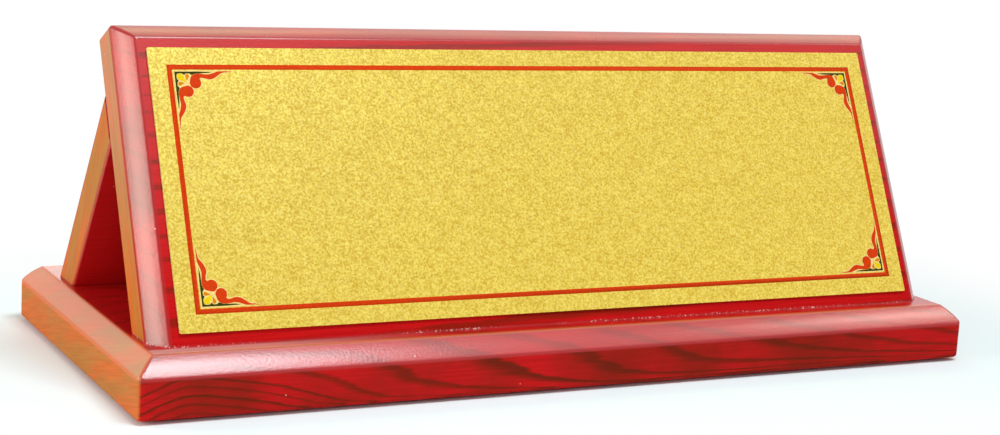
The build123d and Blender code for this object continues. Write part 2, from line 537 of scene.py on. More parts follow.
@dataclass(frozen=True, kw_only=True)
class BentTrunk(Trunk):
    """A trunk cut through a bend: its rings arch near the left end and sweep down the rest of the sides.

    Attributes:
        shoulder: Height of the top of the sides, from which depths are measured.
        run: Length along X from one ring to the next, outside the arches.
        tight_run: The same inside the arches.
        outer_arch: Place along X where the outermost arch leaves the shoulder.
        row: Length along Y from one ring to the next.
        start: Count of rings at the middle of the board.
        crown: Place along X of the top of the arches.
        arch_fall: How many times steeper the arches fall on their left.
        arch_reach: Length along X in which an arch falls by one unit of length.
        sweep_reach: Length along X in which a sweep levels out, next to the arches.
        far_reach: The same at the far end.
        sweep_depth: Depth at which a sweep is level.
        level_share: Share of that depth that is left where a sweep counts as level.
        change: Range along X in which the arches turn into sweeps.
        ease: Range along X in which the sweeps lengthen.
    """

    shoulder: float
    run: float = 28 * MM
    tight_run: float = 13 * MM
    outer_arch: float = -103 * MM
    row: float = 8.7 * MM
    start: float = 0.37
    crown: float = -112 * MM
    arch_fall: float = 2.5
    arch_reach: float = 5.9
    sweep_reach: float = 14 * MM
    far_reach: float = 38 * MM
    sweep_depth: float = 9.6 * MM
    level_share: float = 0.04
    change: Range = (-95 * MM, -55 * MM)
    ease: Range = (0 * MM, 100 * MM)

    def turns(self, surface: Surface) -> NodeSocket:
        """Counts the rings along the bend.

        Args:
            surface: Nodes of the material.

        Returns:
            A socket for the count at each place.
        """
        part = surface.split(surface.place)
        left_fall = surface.line(part["X"], -self.arch_fall, self.crown * (1 + self.arch_fall))
        along = surface.math("SMOOTH_MAX", part["X"], left_fall, self.run)
        depth = surface.math("SUBTRACT", self.shoulder, part["Z"])
        arch = surface.times(depth, -self.arch_reach)
        to_level = surface.line(depth, -1 / self.sweep_depth, 1.0)
        slowing = surface.math("LOGARITHM", surface.math("MAXIMUM", to_level, self.level_share), math.e)
        length = surface.span(surface.smooth(part["X"], *self.ease), self.sweep_reach, self.far_reach)
        shift = surface.span(surface.smooth(part["X"], *self.change), arch, surface.times(slowing, length))
        reach = surface.math("ADD", along, shift)
        inside = surface.math("MINIMUM", surface.math("SUBTRACT", reach, self.outer_arch), 0.0)
        rings = surface.times(inside, 1 / self.tight_run - 1 / self.run)
        rings = surface.line(reach, 1 / self.run, rings)
        rings = surface.line(part["Y"], 1 / self.row, rings)
        return surface.math("ADD", rings, self.start)


class Fold(Enum):
    """Which halves of a board mirror each other, so that one face stands for two."""

    ENDS = "left and right"
    ENDS_AND_SIDES = "left and right, front and rear"


@dataclass(frozen=True)
class Wear:
    """What handling leaves on a board's level side, and a pale painted reflection laid on it.

    Attributes:
        rubbed: Distances from the middle, to the front or rear, between which the stain is rubbed thin.
        film: Places along X between which a pale painted reflection, in the dust colour, thickens.
        painted_haze_depth: Places along Y between which it thickens.
        painted_haze_share: Share of the dust colour in the painted reflection.
    """

    rubbed: Range
    film: Range
    painted_haze_depth: Range
    painted_haze_share: float = 0.55


@dataclass(frozen=True)
class LacqueredWood:
    """Red stained wood with dark grain under a clear lacquer.

    Attributes:
        stain: Colour between the growth rings.
        stain_deep: The stain where the fibre takes more of it.
        fibre_levels: Levels of the fibre between which it takes more.
        latewood: Colour of the dark rings and of the dark blotches, which are partly painted shade.
        blotch_levels: Levels of the smudges between which the dark blotches, partly painted shade, come in.
        end_light: Colour of the end grain.
        end_deep: Colour of the end grain's broad zones.
        end_line: Colour of the end grain's fine lines.
        line_share: Share of that colour in a line.
        edge: Colour along the rounded edges, where the stain gathers.
        edge_worn: Colour along edges that are worn to bare wood.
        edge_share: Share of either colour along an edge.
        dust: Colour of specks of dust, and of the pale painted reflection on a worn side.
        dust_share: Share of places that hold a speck.
        dust_cover: Share of the dust's colour in a speck.
        settle: Heights between which grit that settled in a corner thickens, if any did.
        grit_scale: How many grains of such grit lie along a metre.
        grit_levels: Levels of a noise between which there is a grain.
        heap_levels: Levels of the smudges between which such grit is heaped up.
        wear: What handling left on a worn, level side, with a pale painted reflection there, if it did.
        roughness: Roughness of the wood, and what smudges and dust add to it.
        coat_roughness: Roughness of the clear coat.
        coat_ior: Refractive index of the clear coat.
        gloss_rise: Heights between which a side's gloss turns from its foot's to its head's.
        edge_width: Width of the coloured edges, on either side.
        edge_core: Width in which their colour is full.
        change_width: Depth over which the looks of one side turn into those of the next.
        peel_scale: How many swells of the fine unevenness lie along a metre.
        peel_depth: Depth of the fine unevenness under the lacquer.
        pore_depth: Height of the dark rings, as a share of that depth.
        coat_peel: Depth of the fine unevenness of the lacquer itself.
    """

    stain: Colour = paint(200, 22, 23)
    stain_deep: Colour = paint(184, 17, 20)
    fibre_levels: Range = (0.3, 0.72)
    latewood: Colour = paint(98, 30, 8)
    blotch_levels: Range = (0.32, 0.66)
    end_light: Colour = paint(210, 110, 52)
    end_deep: Colour = paint(184, 122, 60)
    end_line: Colour = paint(168, 84, 34)
    line_share: float = 0.3
    edge: Colour = paint(168, 18, 24)
    edge_worn: Colour = paint(222, 116, 66)
    edge_share: float = 0.75
    dust: Colour = paint(235, 215, 205)
    dust_share: float = 0.3
    dust_cover: float = 0.65
    settle: Range | None = None
    grit_scale: float = 1700.0
    grit_levels: Range = (0.56, 0.66)
    heap_levels: Range = (0.38, 0.6)
    wear: Wear | None = None
    roughness: Triple = (0.32, 0.2, 0.4)
    coat_roughness: float = 0.24
    coat_ior: float = 1.8
    gloss_rise: Range = (18 * MM, 84 * MM)
    edge_width: float = 0.45 * MM
    edge_core: float = 0.15 * MM
    change_width: float = 0.5 * MM
    peel_scale: float = 1300.0
    peel_depth: float = 0.035 * MM
    pore_depth: float = -0.4
    coat_peel: float = 0.03 * MM

    def material(self, name: str, faces: Sequence[Face], fold: Fold, trunk: Trunk,
                 effects: Effects) -> Material:
        """Builds the finish of one board.

        Args:
            name: Name of the material.
            faces: The board's flat sides.
            fold: Which of its halves mirror each other.
            trunk: How the board lies in its tree.
            effects: The shared node groups.

        Returns:
            The material.
        """
        surface = Surface(name)
        part = surface.split(surface.place)
        looks, edge = self._sides(surface, part, faces, fold, effects)
        rings = trunk.rings(surface, effects)
        skin = surface.effect(effects.surface_skin, Peel_Scale=self.peel_scale, Dust_Share=self.dust_share)
        dust = self._dust(surface, part, skin)

        fibre = surface.smooth(rings["Fibre"], *self.fibre_levels)
        dark = surface.times(rings["Latewood"], looks["figure"], trunk.figure)
        # Dark blotches: blotching of the stain, and on the base's front and rear sides painted shade that
        # makes them darker.
        blotch = surface.times(surface.smooth(skin["Smudge"], *self.blotch_levels), looks["blotch"])
        stained = surface.coats(self.stain, (fibre, self.stain_deep), (dark, self.latewood),
                                (blotch, self.latewood))
        streaks = surface.effect(effects.end_streaks, Lie=tuple(trunk.lie))
        lines = surface.times(streaks["Line"], looks["figure"], self.line_share)
        end_grain = surface.coats(self.end_light, (streaks["Zone"], self.end_deep), (lines, self.end_line))
        wood = surface.coats(stained, (looks["bare"], end_grain))
        if self.wear:
            wood = self._handled(surface, part, looks, wood)
        edge_colour = surface.coats(self.edge, (looks["worn"], self.edge_worn))
        wood = surface.coats(wood, (surface.times(edge, self.edge_share), edge_colour),
                             (surface.times(dust, self.dust_cover), self.dust))

        plain, smudged, dusty = self.roughness
        rough = surface.line(dust, dusty, surface.line(skin["Smudge"], smudged, plain))
        kept = surface.span(surface.smooth(part["Z"], *self.gloss_rise), looks["foot_share"], 1.0)
        unrubbed = surface.math("SUBTRACT", 1.0, surface.times(edge, looks["dull"]))
        surface.feed(Base_Color=wood, Roughness=rough, Specular_IOR_Level=0.0, Coat_IOR=self.coat_ior,
                     Coat_Weight=surface.times(looks["gloss"], kept, unrubbed),
                     Coat_Roughness=self.coat_roughness)
        surface.bump(surface.line(dark, self.pore_depth, skin["Peel"]), self.peel_depth)
        peel = surface.noise(surface.place, self.peel_scale, detail=2.0)
        surface.bump(peel, self.coat_peel, layer="Coat Normal")
        return surface.material

    def _dust(self, surface: Surface, part: Any, skin: Any) -> NodeSocket:
        """Lays dust on the board.

        Args:
            surface: Nodes of the material.
            part: Sockets of the object coordinates, by axis.
            skin: Outputs of the shared surface skin.

        Returns:
            A socket for the share of dust.
        """
        if not self.settle:
            return skin["Dust"]
        grit = surface.smooth(surface.noise(surface.place, self.grit_scale, detail=2.0), *self.grit_levels)
        heaps = surface.smooth(skin["Smudge"], *self.heap_levels)
        settled = surface.times(surface.smooth(part["Z"], *self.settle), grit, heaps)
        return surface.math("MAXIMUM", skin["Dust"], settled)

    def _handled(self, surface: Surface, part: Any, looks: dict, wood: NodeSocket) -> NodeSocket:
        """Adds what handling left on the board's worn, level side, and a pale painted reflection there.

        Args:
            surface: Nodes of the material.
            part: Sockets of the object coordinates, by axis.
            looks: Sockets for the side's looks by their names.
            wood: Socket for the colour so far.

        Returns:
            A socket for the new colour.
        """
        level = surface.math("SUBTRACT", looks["worn"], looks["bare"], clamp=True)
        rubbed = surface.smooth(surface.math("ABSOLUTE", part["Y"]), *self.wear.rubbed)
        # The film is a pale painted reflection in the dust colour: it thickens towards the ledge's left end,
        # in front of the front panel's foot.
        along = surface.smooth(part["X"], *self.wear.film)
        film = surface.times(along, surface.smooth(part["Y"], *self.wear.painted_haze_depth), level)
        return surface.coats(wood, (surface.times(rubbed, level), self.edge_worn),
                             (surface.times(film, self.wear.painted_haze_share), self.dust))

    def _sides(self, surface: Surface, part: Any, faces: Sequence[Face], fold: Fold,
               effects: Effects) -> tuple[dict[str, NodeSocket], NodeSocket]:
        """Works out which side of the board a point lies on.

        Args:
            surface: Nodes of the material.
            part: Sockets of the object coordinates, by axis.
            faces: The board's flat sides.
            fold: Which of its halves mirror each other.
            effects: The shared node groups.

        Returns:
            Sockets for the side's looks by their names, and one for how near an edge is.
        """
        folded_axes = ("X", "Y") if fold is Fold.ENDS_AND_SIDES else ("X",)
        parts = {axis: surface.math("ABSOLUTE", part[axis]) if axis in folded_axes else part[axis]
                 for axis in ("X", "Y", "Z")}
        folded = surface.join(**parts)
        far_inside = -1.0
        first, second, distances = far_inside, far_inside, []
        for face in faces:
            measure = surface.group(effects.face_distance, Vector=folded, Normal=tuple(face.normal),
                                    Reach=face.reach, First=first, Second=second)
            first, second = measure["First"], measure["Second"]
            distances.append(measure["Distance"])
        total, sums = 0.0, dict.fromkeys(LOOKS, 0.0)
        for face, distance in zip(faces, distances):
            here = surface.smooth(surface.math("SUBTRACT", distance, first), -self.change_width, 0.0)
            total = surface.math("ADD", total, here)
            sums = {look: surface.line(here, getattr(face, look), so_far) for look, so_far in sums.items()}
        looks = {look: surface.math("DIVIDE", so_far, total) for look, so_far in sums.items()}
        return looks, surface.smooth(second, -self.edge_width, -self.edge_core)


@dataclass(frozen=True)
class GoldSheet:
    """Blasted gold-tone sheet with a fine matte speckle, a clear coat and bright cut edges.

    Attributes:
        light: Colour of the grain's heights.
        deep: Colour of the grain's hollows.
        glint: Colour of the glints.
        glint_share: Share of that colour in a glint.
        cut: Colour of the cut ends.
        cut_depth: Depth of the cut ends' colour.
        grain_scale: How many grains lie along a metre.
        mottle_scale: How many broader mottles lie along a metre.
        mottle: How much lighter or darker than the grain a mottle is.
        relief: Depth of the grain.
        relief_share: Share of that relief that shows.
        roughness: Roughness of the sheet, and what smudges and grain add to it.
        coat: Weight of the clear coat in the grain's hollows and on its heights.
        coat_roughness: Roughness of the clear coat.
        coat_ior: Refractive index of the clear coat.
    """

    light: Colour = paint(244, 219, 80)
    deep: Colour = paint(210, 172, 0)
    glint: Colour = paint(255, 242, 150)
    glint_share: float = 0.2
    cut: Colour = paint(236, 216, 140)
    cut_depth: float = 0.02 * MM
    grain_scale: float = 1600.0
    mottle_scale: float = 420.0
    mottle: float = 0.12
    relief: float = 0.014 * MM
    relief_share: float = 0.4
    roughness: Triple = (0.1, 0.08, 0.05)
    coat: Range = (0.58, 1.0)
    coat_roughness: float = 0.4
    coat_ior: float = 1.6

    def material(self, half_length: float, effects: Effects) -> Material:
        """Builds the finish of the sheet.

        Args:
            half_length: From the sheet's middle to either cut end.
            effects: The shared node groups.

        Returns:
            The material.
        """
        surface = Surface("gold_plate_finish")
        speck = surface.effect(effects.speckle, Scale=self.grain_scale)
        skin = surface.effect(effects.surface_skin, Peel_Scale=self.mottle_scale, Dust_Share=0.0)
        mottle = surface.span(surface.smooth(skin["Peel"], *NOISE_MIDDLE), -self.mottle, self.mottle)
        height = surface.math("ADD", speck["Grain"], mottle, clamp=True)
        along = surface.math("ABSOLUTE", surface.split(surface.place)["X"])
        cut_end = surface.math("GREATER_THAN", along, half_length - self.cut_depth)
        gold = surface.coats(self.deep, (height, self.light),
                             (surface.times(speck["Glint"], self.glint_share), self.glint),
                             (cut_end, self.cut))
        plain, smudged, grained = self.roughness
        rough = surface.line(speck["Grain"], grained, surface.line(skin["Smudge"], smudged, plain))
        surface.feed(Base_Color=gold, Metallic=surface.math("SUBTRACT", 1.0, cut_end), Roughness=rough,
                     Coat_Weight=surface.span(speck["Grain"], *self.coat), Coat_IOR=self.coat_ior,
                     Coat_Roughness=self.coat_roughness)
        surface.bump(speck["Grain"], self.relief, self.relief_share)
        return surface.material


@dataclass(frozen=True)
class SpeckledFilm:
    """A thin film whose fine grain shows in its colour, its roughness and its relief.

    Attributes:
        name: Name of the material.
        light: Colour of the grain's heights.
        deep: Colour of the grain's hollows.
        grain_scale: How many grains lie along a metre.
        roughness: Roughness of the grain's hollows and of its heights.
        relief: Depth of the grain.
        relief_share: Share of that relief that shows.
        specular: Level of the plain reflection.
    """

    name: str
    light: Colour
    deep: Colour
    grain_scale: float
    roughness: Range
    relief: float
    relief_share: float = 1.0
    specular: float = 0.5

    def material(self, effects: Effects) -> Material:
        """Builds the film.

        Args:
            effects: The shared node groups.

        Returns:
            The material.
        """
        surface = Surface(self.name)
        grain = surface.effect(effects.speckle, Scale=self.grain_scale)["Grain"]
        surface.feed(Base_Color=surface.coats(self.deep, (grain, self.light)),
                     Roughness=surface.span(grain, *self.roughness), Specular_IOR_Level=self.specular)
        surface.bump(grain, self.relief, self.relief_share)
        return surface.material


# Off-white double-sided tape, whose tissue carrier shows as a cloudy weave.
TAPE_FILM = SpeckledFilm("tape_finish", paint(236, 232, 218), paint(205, 198, 178), grain_scale=700.0,
                         roughness=(0.4, 0.65), relief=0.02 * MM)


class Ink(Enum):
    """Printing inks: name, colour and the record's material slot."""

    RED = ("red", paint(218, 60, 10), "red_ink")
    GREEN = ("green", paint(56, 58, 2), "green_ink")
    YELLOW = ("yellow", paint(244, 204, 4), "yellow_ink")
    ORANGE = ("orange", paint(226, 132, 4), "yellow_ink")
    CREAM = ("cream", paint(250, 212, 130), "yellow_ink")

    def material(self, effects: Effects) -> Material:
        """Builds the ink, which lets a little of the sheet's speckle show through.

        Args:
            effects: The shared node groups.

        Returns:
            The material.
        """
        thin_share = 0.8
        label, colour, _ = self.value
        thin = (*(thin_share * level for level in colour[:3]), 1.0)
        film = SpeckledFilm(f"{label}_ink_finish", colour, thin, grain_scale=1900.0, roughness=(0.55, 0.42),
                            relief=0.008 * MM, relief_share=0.5, specular=0.05)
        return film.material(effects)


@dataclass(frozen=True)
class ZincSteel:
    """Yellow zinc plating with a faint iridescent cast."""

    light: Colour = paint(214, 200, 158)
    deep: Colour = paint(176, 150, 92)
    tarnish: Colour = paint(112, 96, 78)
    tarnish_share: float = 0.6
    grain_scale: float = 2600.0
    cast_scale: float = 700.0
    roughness: Range = (0.24, 0.42)
    relief: float = 0.006 * MM
    relief_share: float = 0.5

    def material(self, effects: Effects) -> Material:
        """Builds the plating.

        Args:
            effects: The shared node groups.

        Returns:
            The material.
        """
        surface = Surface("zinc_steel_finish")
        speck = surface.effect(effects.speckle, Scale=self.grain_scale)
        skin = surface.effect(effects.surface_skin, Peel_Scale=self.cast_scale, Dust_Share=0.0)
        tarnished = surface.times(speck["Glint"], self.tarnish_share)
        plated = surface.coats(self.light, (surface.smooth(skin["Peel"], *NOISE_MIDDLE), self.deep),
                               (tarnished, self.tarnish))
        rough = surface.span(speck["Grain"], *self.roughness)
        surface.feed(Base_Color=plated, Metallic=1.0, Roughness=rough)
        surface.bump(speck["Grain"], self.relief, self.relief_share)
        return surface.material


@dataclass(frozen=True)
class PlainBeech:
    """Unlacquered dowel wood with short dark flecks."""

    light: Colour = paint(222, 190, 148)
    deep: Colour = paint(186, 144, 100)
    ring_share: float = 0.6
    fibre_share: float = 0.4
    roughness: Range = (0.55, 0.8)
    relief: float = 0.03 * MM
    trunk: Trunk = RoundTrunk(spacing=1.4 * MM)

    def material(self, effects: Effects) -> Material:
        """Builds the wood.

        Args:
            effects: The shared node groups.

        Returns:
            The material.
        """
        surface = Surface("plain_beech_finish")
        rings = self.trunk.rings(surface, effects)
        fibre = surface.times(rings["Fibre"], self.fibre_share)
        shade = surface.line(rings["Latewood"], self.ring_share, fibre)
        surface.feed(Base_Color=surface.coats(self.light, (shade, self.deep)),
                     Roughness=surface.span(rings["Fibre"], *self.roughness))
        surface.bump(rings["Fibre"], self.relief)
        return surface.material


@dataclass(frozen=True)
class PressedFelt:
    """Black pressed felt with lighter loose fibres."""

    dark: Colour = paint(26, 25, 26)
    light: Colour = paint(74, 70, 70)
    grain_scale: float = 2200.0
    hair_scale: float = 900.0
    hair_twist: float = 2.5
    hair_levels: Range = (0.5, 0.7)
    roughness: Range = (0.85, 1.0)
    sheen: float = 0.4
    sheen_roughness: float = 0.6
    relief: float = 0.15 * MM

    def material(self, effects: Effects) -> Material:
        """Builds the felt.

        Args:
            effects: The shared node groups.

        Returns:
            The material.
        """
        surface = Surface("pressed_felt_finish")
        grain = surface.effect(effects.speckle, Scale=self.grain_scale)["Grain"]
        hair = surface.noise(surface.place, self.hair_scale, detail=5.0, Distortion=self.hair_twist)
        strands = surface.smooth(hair, *self.hair_levels)
        surface.feed(Base_Color=surface.coats(self.dark, (strands, self.light)),
                     Roughness=surface.span(grain, *self.roughness), Sheen_Weight=self.sheen,
                     Sheen_Roughness=self.sheen_roughness)
        surface.bump(strands, self.relief)
        return surface.material


def set_finish(piece: Object, material: Material) -> None:
    """Gives every material slot of a piece one finish.

    Args:
        piece: Object to dress.
        material: Its finish.
    """
    if not piece.material_slots:
        piece.data.materials.append(material)
    for slot in piece.material_slots:
        slot.link = "OBJECT"
        slot.material = material


@dataclass
class Joinery:
    """The three boards, which stay as the frame has them and are dressed here.

    Attributes:
        bevel: Width of every bevel.
        thickness: Thickness of the stock.
        lean_deg: Lean of the front panel back from upright.
        panel_height: Height of the front panel's face along its slope.
        rear_setback: From the base's rear edge to the foot of the rear panel's outer face.
        apex_drop: From the front panel's top, down its back, to the rear panel's tip.
        grit_rise: Heights above the front panel's foot between which grit thickens.
        rub_width: Width of the rubbed stain along the ledge's edge.
        film: Places along X between which the pale painted reflection on the ledge thickens.
        painted_haze_rim: From the front panel's foot to where that painted reflection is whole.
    """

    nodes: dict[str, Object]
    effects: Effects
    bevel: float = 4.8 * MM
    thickness: float = 15.0 * MM
    lean_deg: float = 26.4
    panel_height: float = 84.6 * MM
    rear_setback: float = 13.1 * MM
    apex_drop: float = 10.3 * MM
    grit_rise: Range = (0.7 * MM, 0.1 * MM)
    rub_width: float = 2.0 * MM
    film: Range = (-35 * MM, -105 * MM)
    painted_haze_rim: float = 1.5 * MM
    wood: LacqueredWood = LacqueredWood()

    def __post_init__(self) -> None:
        """Reads the boards' places off the frame."""
        lean = math.radians(self.lean_deg)
        self.up_slope = Vector((0, math.sin(lean), math.cos(lean)))
        self.out_of_face = Vector((0, -math.cos(lean), math.sin(lean)))
        self.base_low, self.base_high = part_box("base_board")
        panel_low, panel_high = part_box("front_panel")
        self.foot = Vector((0, panel_low.y, self.base_high.z))
        self.panel_back = self.foot - self.out_of_face * self.thickness
        self.end = Face(Vector((1, 0, 0)), panel_high.x, gloss=0.5, foot_share=0.0, bare=1.0, dull=0.8)
        self.level_foot = Face(Vector((0, 0, -1)), -self.base_high.z)

    def dress(self) -> None:
        """Gives each board its own cut of the wood."""
        gritty = replace(self.wood, settle=tuple(self.foot.z + rise for rise in self.grit_rise))
        ledge_edge = self.base_high.y - self.bevel
        # The wear's film is a pale painted reflection on the ledge's left end, in front of the front panel.
        wear = Wear((ledge_edge - self.rub_width, ledge_edge), self.film,
                    (self.foot.y, self.foot.y - self.painted_haze_rim))
        handled = replace(self.wood, wear=wear)
        boards = {
            "base_board": (handled, self.base_faces(), Fold.ENDS_AND_SIDES, self.base_trunk()),
            "front_panel": (gritty, self.front_faces(), Fold.ENDS, self.front_trunk()),
            "rear_panel": (self.wood, self.rear_faces(), Fold.ENDS, self.rear_trunk()),
        }
        for name, (wood, faces, fold, trunk) in boards.items():
            material = wood.material(f"{name}_finish", faces, fold, trunk, self.effects)
            set_finish(self.nodes[name], material)
            log.info("dressed %s on %d faces", name, len(faces))

    def base_faces(self) -> list[Face]:
        """Describes the base board, folded to one quarter.

        Returns:
            Its sides.
        """
        end = Face(Vector((1, 0, 0)), self.base_high.x, gloss=0.1, bare=1.0, worn=1.0)
        # The heavy blotches on the front and rear sides are painted shade that darkens these upright sides.
        side = Face(Vector((0, 1, 0)), self.base_high.y, gloss=0.06, blotch=0.65)
        top = Face(Vector((0, 0, 1)), self.base_high.z, figure=0.5, worn=0.7)
        underside = Face(Vector((0, 0, -1)), -self.base_low.z, gloss=0.1, figure=0.4)
        end_bevel = top.bevelled_to(end, self.bevel, gloss=0.6, figure=0.4, bare=0.9, worn=0.8, dull=0.5)
        side_bevel = top.bevelled_to(side, self.bevel, figure=0.45, blotch=0.2)
        return [end, side, top, underside, end_bevel, side_bevel]

    def front_faces(self) -> list[Face]:
        """Describes the front panel, folded to one half.

        Returns:
            Its sides.
        """
        face = Face.through(self.out_of_face, self.foot, gloss=0.5, foot_share=0.05)
        back = Face.through(-self.out_of_face, self.panel_back)
        top = Face.through(self.up_slope, self.foot + self.up_slope * self.panel_height)
        end_bevel = face.bevelled_to(self.end, self.bevel, figure=0.35, blotch=0.6, dull=0.6)
        top_bevel = face.bevelled_to(top, self.bevel, figure=0.35, blotch=0.3)
        return [self.end, face, back, top, self.level_foot, end_bevel, top_bevel]

    def rear_faces(self) -> list[Face]:
        """Describes the rear panel, folded to one half.

        Returns:
            Its sides.
        """
        foot = Vector((0, self.base_high.y - self.rear_setback, self.base_high.z))
        tip = self.panel_back + self.up_slope * (self.panel_height - self.apex_drop)
        out_of_rear = (tip - foot).cross(Vector((1, 0, 0))).normalized()
        outer = Face.through(out_of_rear, foot)
        inner = Face.through(-out_of_rear, foot - out_of_rear * self.thickness, figure=0.1)
        mitre = Face.through(self.out_of_face, self.panel_back)
        heel = Face(Vector((0, 1, 0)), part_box("rear_panel")[1].y, gloss=0.4)
        end = replace(self.end, gloss=0.1, foot_share=1.0)
        end_bevel = outer.bevelled_to(end, self.bevel, figure=0.35, blotch=0.6, dull=0.6)
        return [end, outer, inner, mitre, self.level_foot, heel, end_bevel]

    def base_trunk(self) -> Trunk:
        """Returns how the base board lies in its tree."""
        return BentTrunk(shoulder=self.base_high.z - self.bevel, wander=0.8, late_share=0.4, figure=0.9,
                         lie=Vector((0, -1, 0.24)).normalized())

    def front_trunk(self) -> Trunk:
        """Returns how the front panel lies in its tree."""
        return RoundTrunk(pith=(0.0, 0.03, -0.08), tilt_deg=(0.0, 1.2, 0.6), spacing=4.0 * MM,
                          late_share=0.3, figure=0.7, lie=self.up_slope)

    def rear_trunk(self) -> Trunk:
        """Returns how the rear panel lies in its tree."""
        return RoundTrunk(pith=(0.0, -0.004, 0.036), tilt_deg=(0.0, -2.2, 4.4), spacing=4.6 * MM,
                          wander=1.1, late_share=0.3, figure=0.75, lie=Vector((0, -0.5, 1)).normalized())


class Outline:
    """A closed flat outline, drawn stretch by stretch."""

    def __init__(self, *points: Point) -> None:
        """Starts with straight runs from point to point."""
        self.points = list(points)

    def curve(self, *knots: Point, steps: int = 5) -> "Outline":
        """Adds a smooth run through knots, from the last point so far.

        Args:
            knots: Points that the curve passes through.
            steps: Pieces between two knots.

        Returns:
            This outline.
        """
        through = [Vector(self.points[-1]), *(Vector(knot) for knot in knots)]
        ends = [2 * through[0] - through[1], *through, 2 * through[-1] - through[-2]]
        for before, start, stop, after in zip(ends, ends[1:], ends[2:], ends[3:]):
            leave, arrive = (stop - before) / 2, (after - start) / 2
            for step in range(1, steps + 1):
                t = step / steps
                spot = (start * (2 * t**3 - 3 * t**2 + 1) + leave * (t**3 - 2 * t**2 + t)
                        + stop * (3 * t**2 - 2 * t**3) + arrive * (t**3 - t**2))
                self.points.append((spot.x, spot.y))
        return self

    def arc(self, centre: Point, radius: float, from_deg: float, to_deg: float, steps: int = 16) -> "Outline":
        """Adds a round run.

        Args:
            centre: Centre of the run.
            radius: Its radius.
            from_deg: Angle of its first point.
            to_deg: Angle of its last point.
            steps: Pieces between them.

        Returns:
            This outline.
        """
        for step in range(steps + 1):
            angle = math.radians(from_deg + (to_deg - from_deg) * step / steps)
            self.points.append((centre[0] + radius * math.cos(angle), centre[1] + radius * math.sin(angle)))
        return self

    def mirrored(self) -> "Outline":
        """Returns the outline with its two axes swapped."""
        return Outline(*((y, x) for x, y in reversed(self.points)))

    def doubled(self) -> "Outline":
        """Returns the outline with its mirror image added, where it starts on the diagonal."""
        return Outline(*self.points, *self.mirrored().points[:-1])


def put(name: str, data: Any) -> Object:
    """Puts a new object in the scene.

    Args:
        name: Name of the object.
        data: The mesh, lamp or camera that it shows.

    Returns:
        The object.
    """
    thing = bpy.data.objects.new(name, data)
    bpy.context.scene.collection.objects.link(thing)
    return thing


def keep_form(name: str, form: bmesh.types.BMesh) -> Mesh:
    """Makes a form into a mesh, and frees the form.

    Args:
        name: Name of the mesh.
        form: The form.

    Returns:
        The mesh.
    """
    mesh = bpy.data.meshes.new(name)
    form.to_mesh(mesh)
    form.free()
    return mesh


def extrude_outlines(name: str, outlines: Sequence[Outline], thickness: float) -> Mesh:
    """Makes flat outlines into thin solids that stand on zero height.

    Args:
        name: Name of the mesh.
        outlines: Closed outlines in millimetres.
        thickness: Thickness in metres.

    Returns:
        The mesh, with its normals outwards.
    """
    form = bmesh.new()
    for outline in outlines:
        rim = [form.verts.new((x * MM, y * MM, 0.0)) for x, y in outline.points]
        raised = bmesh.ops.extrude_face_region(form, geom=[form.faces.new(rim)])["geom"]
        lifted = [item for item in raised if isinstance(item, bmesh.types.BMVert)]
        bmesh.ops.translate(form, verts=lifted, vec=(0, 0, thickness))
    bmesh.ops.recalc_face_normals(form, faces=form.faces)
    return keep_form(name, form)


def bake_tree(name: str, tree: NodeTree, values: dict[str, Any], start: Mesh | None = None) -> Object:
    """Runs a Geometry Nodes tree once and keeps its result as a plain mesh.

    Args:
        name: Name of the piece.
        tree: The tree to run.
        values: What each of its named inputs takes.
        start: Mesh that the tree starts from, if it takes one.

    Returns:
        The new piece, at the origin, with no modifier.
    """
    piece = put(name, start or bpy.data.meshes.new(name))
    recipe = piece.modifiers.new("recipe", "NODES")
    recipe.node_group = tree
    for item in tree.interface.items_tree:
        if item.in_out == "INPUT" and item.name in values:
            recipe[item.identifier] = values[item.name]
    depsgraph = bpy.context.evaluated_depsgraph_get()
    result = bpy.data.meshes.new_from_object(piece.evaluated_get(depsgraph))
    piece.modifiers.clear()
    piece.data = result
    result.name = name
    return piece


